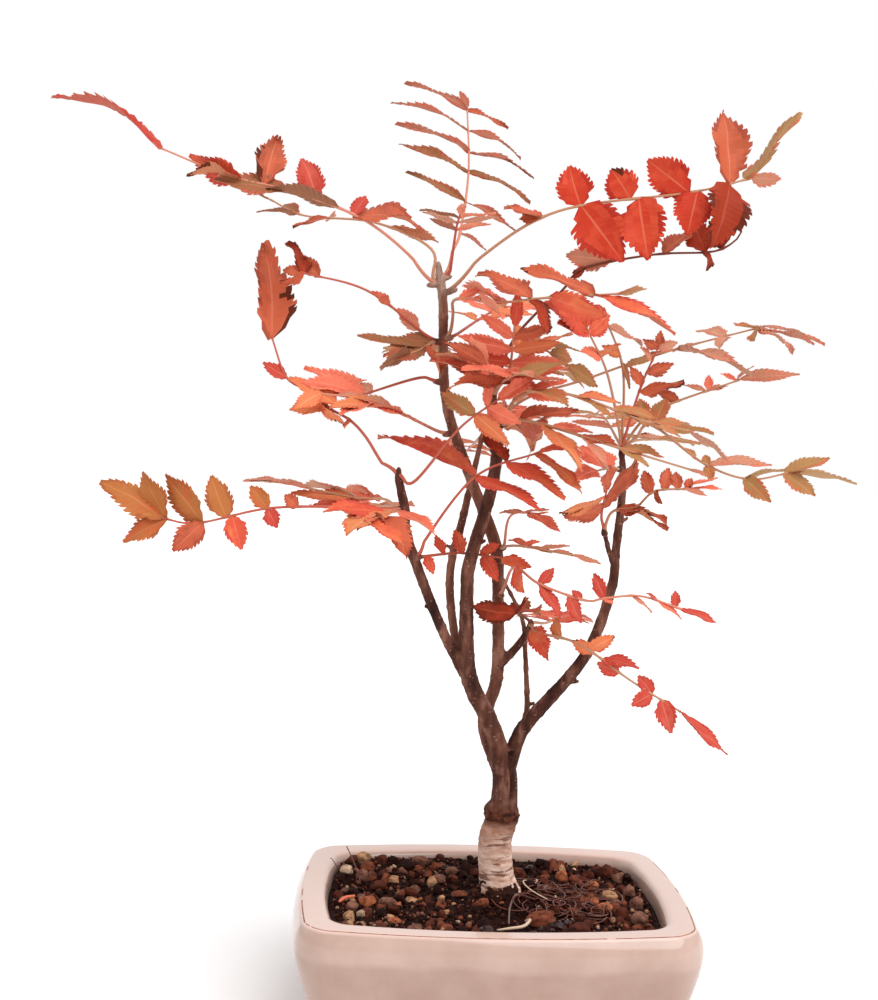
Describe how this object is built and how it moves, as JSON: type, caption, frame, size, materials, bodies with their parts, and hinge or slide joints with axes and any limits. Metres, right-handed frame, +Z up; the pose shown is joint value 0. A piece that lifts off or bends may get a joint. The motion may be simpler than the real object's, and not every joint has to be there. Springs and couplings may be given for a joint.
{
  "type": "rowan bonsai",
  "caption": "Small multi-stemmed rowan in autumn leaf, grown as a bonsai in a rounded rectangular glazed pot filled with gritty soil.",
  "frame": {"origin": "centre of the pot's flat underside, on the surface it stands on", "axes": "+X to the right along the pot's long side, +Y away from the viewer of the picture, +Z up"},
  "size_m": [0.4418, 0.2466, 0.5302],
  "materials": {
    "glaze": "pale pinkish cream gloss glaze",
    "soil": "dark gritty soil",
    "bark": "rough bark",
    "scarlet_leaves": "thin matt autumn leaves",
    "coral_leaves": "thin matt autumn leaves",
    "orange_leaves": "thin matt autumn leaves",
    "olive_leaves": "thin matt autumn leaves",
    "brown_leaves": "thin matt autumn leaves"
  },
  "bodies": {
    "root": {"pot": "glaze", "soil": "soil", "trunk": "bark", "front_stem": "bark", "left_stem": "bark", "back_stem": "bark", "leader": "bark", "side_branch": "bark", "right_stem": "bark", "thin_stem": "bark", "right_shoot": "bark", "upper_left_leaves": "coral_leaves", "top_leaves": "coral_leaves", "upper_right_leaves": "scarlet_leaves", "mid_left_leaves": "brown_leaves", "mid_right_leaves": "scarlet_leaves", "inner_left_leaves": "olive_leaves", "lower_inner_leaves": "coral_leaves", "left_tip_leaves": "orange_leaves", "left_low_leaves": "orange_leaves", "left_mid_leaves": "scarlet_leaves", "front_tip_leaves": "scarlet_leaves", "front_side_leaves": "coral_leaves", "back_tip_leaves": "olive_leaves", "right_tip_leaves": "olive_leaves", "right_side_leaves": "brown_leaves", "right_shoot_leaves": "scarlet_leaves", "centre_low_leaves": "coral_leaves", "lower_front_leaves": "scarlet_leaves", "lower_leaves": "scarlet_leaves"}
  },
  "joints": []
}
